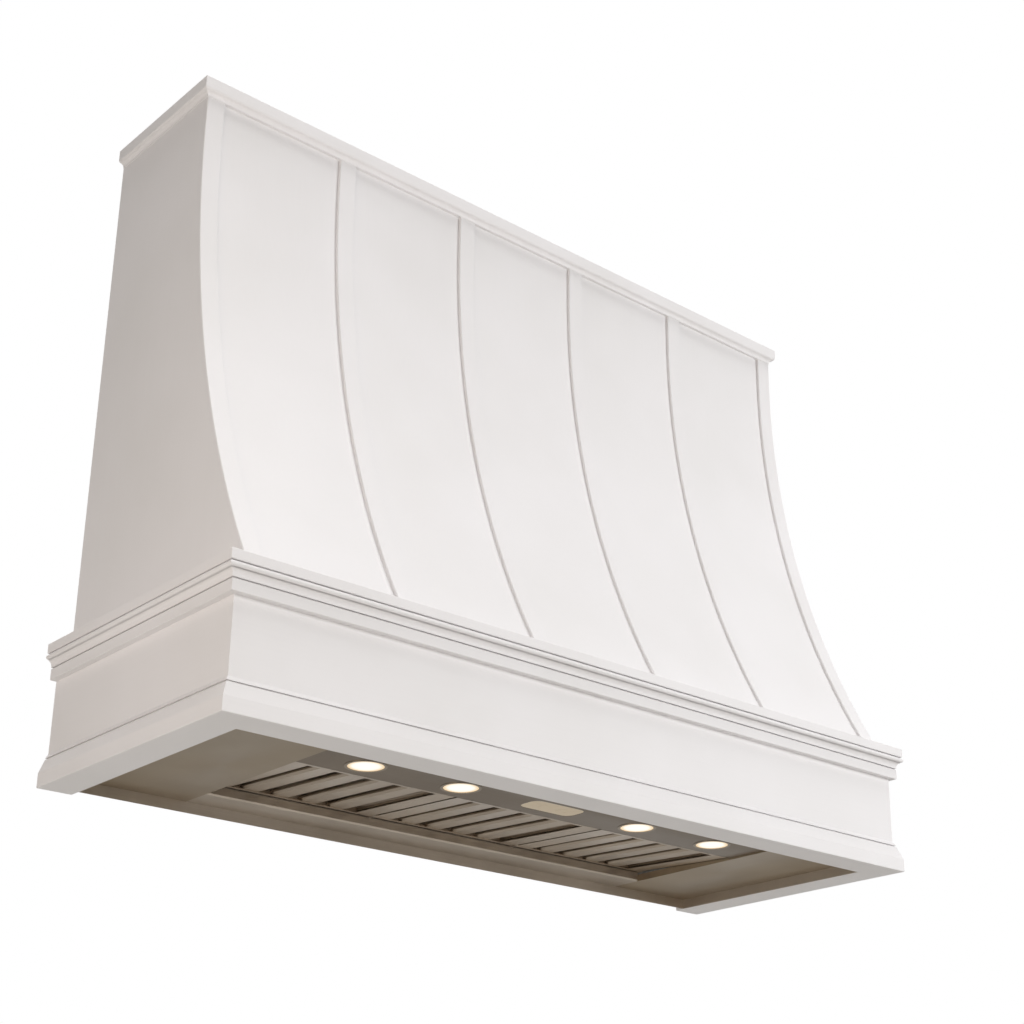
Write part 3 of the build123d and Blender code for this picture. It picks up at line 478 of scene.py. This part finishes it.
# Zinc spangles of about 8 mm, each crystal with its own tone and sheen.
spangle_size, mottle_size = 0.008, 0.003
galvanised, tree, where = start_finish("galvanised_sheet_hot_dipped")
spangle = add(tree, "TexVoronoi", {"Vector": where, "Scale": 1 / spangle_size,
                                   "Randomness": 1.0})
mottle = add(tree, "TexNoise", {"Vector": where, "Scale": 1 / mottle_size, "Detail": 2.0})
facet = add(tree, "SeparateColor", {"Color": spangle.outputs["Color"]})
mixed = add(tree, "Math", {0: facet.outputs[0], 1: mottle.outputs[0]}, operation="ADD")
tone = add(tree, "MapRange", {"Value": mixed.outputs[0], "From Min": 0.3, "From Max": 1.5})
colour = add(tree, "Mix", {"Factor": tone.outputs[0], "A": linear("#8B9094"),
                           "B": linear("#AEB2B4")}, data_type="RGBA")
gloss = add(tree, "MapRange", {"Value": facet.outputs[0], "To Min": 0.36, "To Max": 0.54})
coat = add(tree, "BsdfPrincipled", {"Base Color": colour.outputs["Result"], "Metallic": 1.0,
                                    "Roughness": gloss.outputs[0]})
add(tree, "OutputMaterial", {"Surface": coat.outputs[0]})
finish_on(galvanised, "plenum_box", "blower_box", "scroll_housing", "blower_wheel")

# Baked enamel on the motor is black and fairly glossy, with a slight flow in the coat.
flow_size = 0.002
enamel, tree, where = start_finish("enamel_baked_black")
flow = add(tree, "TexNoise", {"Vector": where, "Scale": 1 / flow_size, "Detail": 2.0})
tone = add(tree, "Mix", {"Factor": flow.outputs[0], "A": linear("#1D1E20"),
                         "B": linear("#292A2C")}, data_type="RGBA")
relief = add(tree, "Bump", {"Height": flow.outputs[0], "Strength": 0.2, "Distance": 0.0002})
coat = add(tree, "BsdfPrincipled", {"Base Color": tone.outputs["Result"], "Roughness": 0.32,
                                    "IOR": 1.52, "Normal": relief.outputs[0]})
add(tree, "OutputMaterial", {"Surface": coat.outputs[0]})
finish_on(enamel, "blower_motor")

# ---- duct collar and damper ----------------------------------------------------------------
# The round spigot over the blower's outlet, with a rod across it and two flaps that fall
# shut. Rolled and seamed galvanised sheet.

finish_on(galvanised, "duct_collar", "damper_rod", "damper_flap_front", "damper_flap_rear")

# ---- floor ---------------------------------------------------------------------------------
# A plain pale disc far below the hung cover, low enough for views from underneath. Trowelled
# screed, matt with a slow change in tone. It keeps a soft shadow.

floor_height, reach, sides = -3.6, 20.0, 128
cloud_size = 0.6
turns = [math.tau * k / sides for k in range(sides)]
floor_mesh = bpy.data.meshes.new("floor")
floor_mesh.from_pydata([(reach * math.cos(turn), reach * math.sin(turn), floor_height)
                        for turn in turns], [], [tuple(range(sides))])
floor = bpy.data.objects.new("floor", floor_mesh)
bpy.context.scene.collection.objects.link(floor)
screed, tree, where = start_finish("floor_screed_pale")
cloud = add(tree, "TexNoise", {"Vector": where, "Scale": 1 / cloud_size, "Detail": 3.0})
tone = add(tree, "Mix", {"Factor": cloud.outputs[0], "A": linear("#EDEAE4"),
                         "B": linear("#F1EEE9")}, data_type="RGBA")
top = add(tree, "BsdfPrincipled", {"Base Color": tone.outputs["Result"], "Roughness": 0.8,
                                   "IOR": 1.45})
add(tree, "OutputMaterial", {"Surface": top.outputs[0]})
floor_mesh.materials.append(screed)

# ---- background and light ------------------------------------------------------------------
# The world is white to the camera, in reflections and through glass, and a very dim even
# light otherwise. Five soft lamps light the cover, and a sun fills in from behind.

world = bpy.data.worlds.new("studio")
bpy.context.scene.world = world
world.use_nodes = True
tree = world.node_tree
tree.nodes.clear()
ray = add(tree, "LightPath")
seen = add(tree, "Math", {0: ray.outputs["Is Camera Ray"], 1: ray.outputs["Is Glossy Ray"]},
           operation="MAXIMUM")
shown = add(tree, "Math", {0: seen.outputs[0], 1: ray.outputs["Is Transmission Ray"]},
            operation="MAXIMUM")
ambient = add(tree, "Background", {"Color": linear("#F4F6F8"), "Strength": 0.02})
white = add(tree, "Background", {"Color": linear("#FFFFFF"), "Strength": 1.0})
pick = add(tree, "MixShader", {0: shown.outputs[0], 1: ambient.outputs[0],
                               2: white.outputs[0]})
add(tree, "OutputWorld", {"Surface": pick.outputs[0]})


def soft_lamp(name, place, aim, size, power, colour):
    """A rectangular lamp that stands at a place and faces the point that it aims at."""
    light = bpy.data.lights.new(name, "AREA")
    light.shape = "RECTANGLE"
    light.size, light.size_y = size
    light.energy = power
    light.color = linear(colour)[:3]
    lamp = bpy.data.objects.new(name, light)
    lamp.location = place
    lamp.rotation_mode = "QUATERNION"
    lamp.rotation_quaternion = (Vector(aim) - Vector(place)).to_track_quat("-Z", "Y")
    bpy.context.scene.collection.objects.link(lamp)


# A wide one hangs high in front. Two stand at the front right, and two weak warm ones at the
# left, where the side is in half shade.
soft_lamp("overhead", (0.45, -1.75, 7.6), (0.0, -0.2, 0.3), (5.0, 4.0), 368.0, "#FFFEFD")
soft_lamp("front_right", (2.8, -4.6, 1.4), (0.0, 0.0, 0.3), (1.8, 1.6), 70.0, "#FFFFFF")
soft_lamp("right", (2.6, -3.4, 0.5), (0.2, 0.0, 0.3), (1.8, 1.4), 58.0, "#FFFFFF")
soft_lamp("left_front", (-2.6, -1.5, 0.3), (-0.4, 0.0, 0.3), (1.6, 1.4), 22.0, "#FFF6EE")
soft_lamp("left_low", (-2.4, -0.3, -0.6), (-0.6, 0.0, 0.1), (1.4, 1.0), 10.0, "#FFF2E6")

# A wide soft sun from high behind lights the floor and the inside evenly.
sunlight = Vector((-0.45, -1.0, -1.1))
sun = bpy.data.lights.new("rear_fill", "SUN")
sun.energy, sun.angle = 1.05, math.radians(50)
fill = bpy.data.objects.new("rear_fill", sun)
fill.rotation_mode = "QUATERNION"
fill.rotation_quaternion = sunlight.to_track_quat("-Z", "Y")
bpy.context.scene.collection.objects.link(fill)

# ---- camera --------------------------------------------------------------------------------
# The cover is seen from below and from its left, as it hangs on the wall. The view is
# shifted a little, as far as the photograph's framing needs.

turn, rise = math.radians(42.3), math.radians(21.3)
eye = Vector((-1.8619, -2.2231, -0.7124))
ahead = Vector((math.sin(turn) * math.cos(rise), math.cos(turn) * math.cos(rise),
                math.sin(rise)))
focal_pixels, photo_pixels, sensor = 1821.3, 1024, 36.0
lens = bpy.data.cameras.new("photo_view")
lens.sensor_width = sensor
lens.lens = focal_pixels * sensor / photo_pixels
lens.shift_x, lens.shift_y = -0.07, 0.08
lens.clip_start, lens.clip_end = 0.05, 60.0
camera = bpy.data.objects.new("photo_view", lens)
camera.location = eye
camera.rotation_mode = "QUATERNION"
camera.rotation_quaternion = ahead.to_track_quat("-Z", "Y")
bpy.context.scene.collection.objects.link(camera)
bpy.context.scene.camera = camera
bpy.context.scene.view_settings.view_transform = "Standard"
